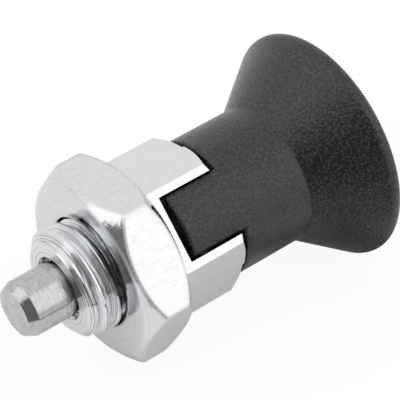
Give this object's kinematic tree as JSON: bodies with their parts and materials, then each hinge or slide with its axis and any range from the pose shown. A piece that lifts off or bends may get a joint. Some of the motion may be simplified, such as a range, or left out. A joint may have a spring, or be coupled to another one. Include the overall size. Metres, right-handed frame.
{
  "type": "indexing plunger",
  "caption": "Short indexing plunger: a sprung steel pin in a threaded guide with a slotted hexagon collar, a lock nut and a flared black plastic pull knob.",
  "frame": {"origin": "on the plunger's axis, in the plane of the lock nut's front face, which seats on the plate that the guide is screwed into", "axes": "X along the plunger: the pin points to -X and the knob is at +X. The slot of the collar opens 42 degrees from +Z towards -Y"},
  "size_m": [0.0403, 0.025, 0.025],
  "materials": {
    "plated_steel": "bright zinc plated, fine turned marks",
    "ground_steel": "ground",
    "spring_steel": "drawn wire",
    "black_plastic": "moulded with a fine matt grain"
  },
  "bodies": {
    "guide": {"guide_body": "plated_steel", "retaining_bush": "ground_steel", "return_spring": "spring_steel"},
    "plunger": {"index_pin": "ground_steel", "pull_knob": "black_plastic"},
    "nut": {"lock_nut": "plated_steel"}
  },
  "joints": [
    {"name": "plunger_pull", "type": "slide", "parent": "guide", "child": "plunger", "axis": [1, 0, 0], "range_m": [0, 0.0066], "stiffness_N_per_m": 1333, "springref_m": -0.0045, "deforming": ["return_spring"]},
    {"name": "lock_nut_travel", "type": "slide", "parent": "guide", "child": "nut", "axis": [-1, 0, 0], "range_m": [0, 0.003]}
  ]
}
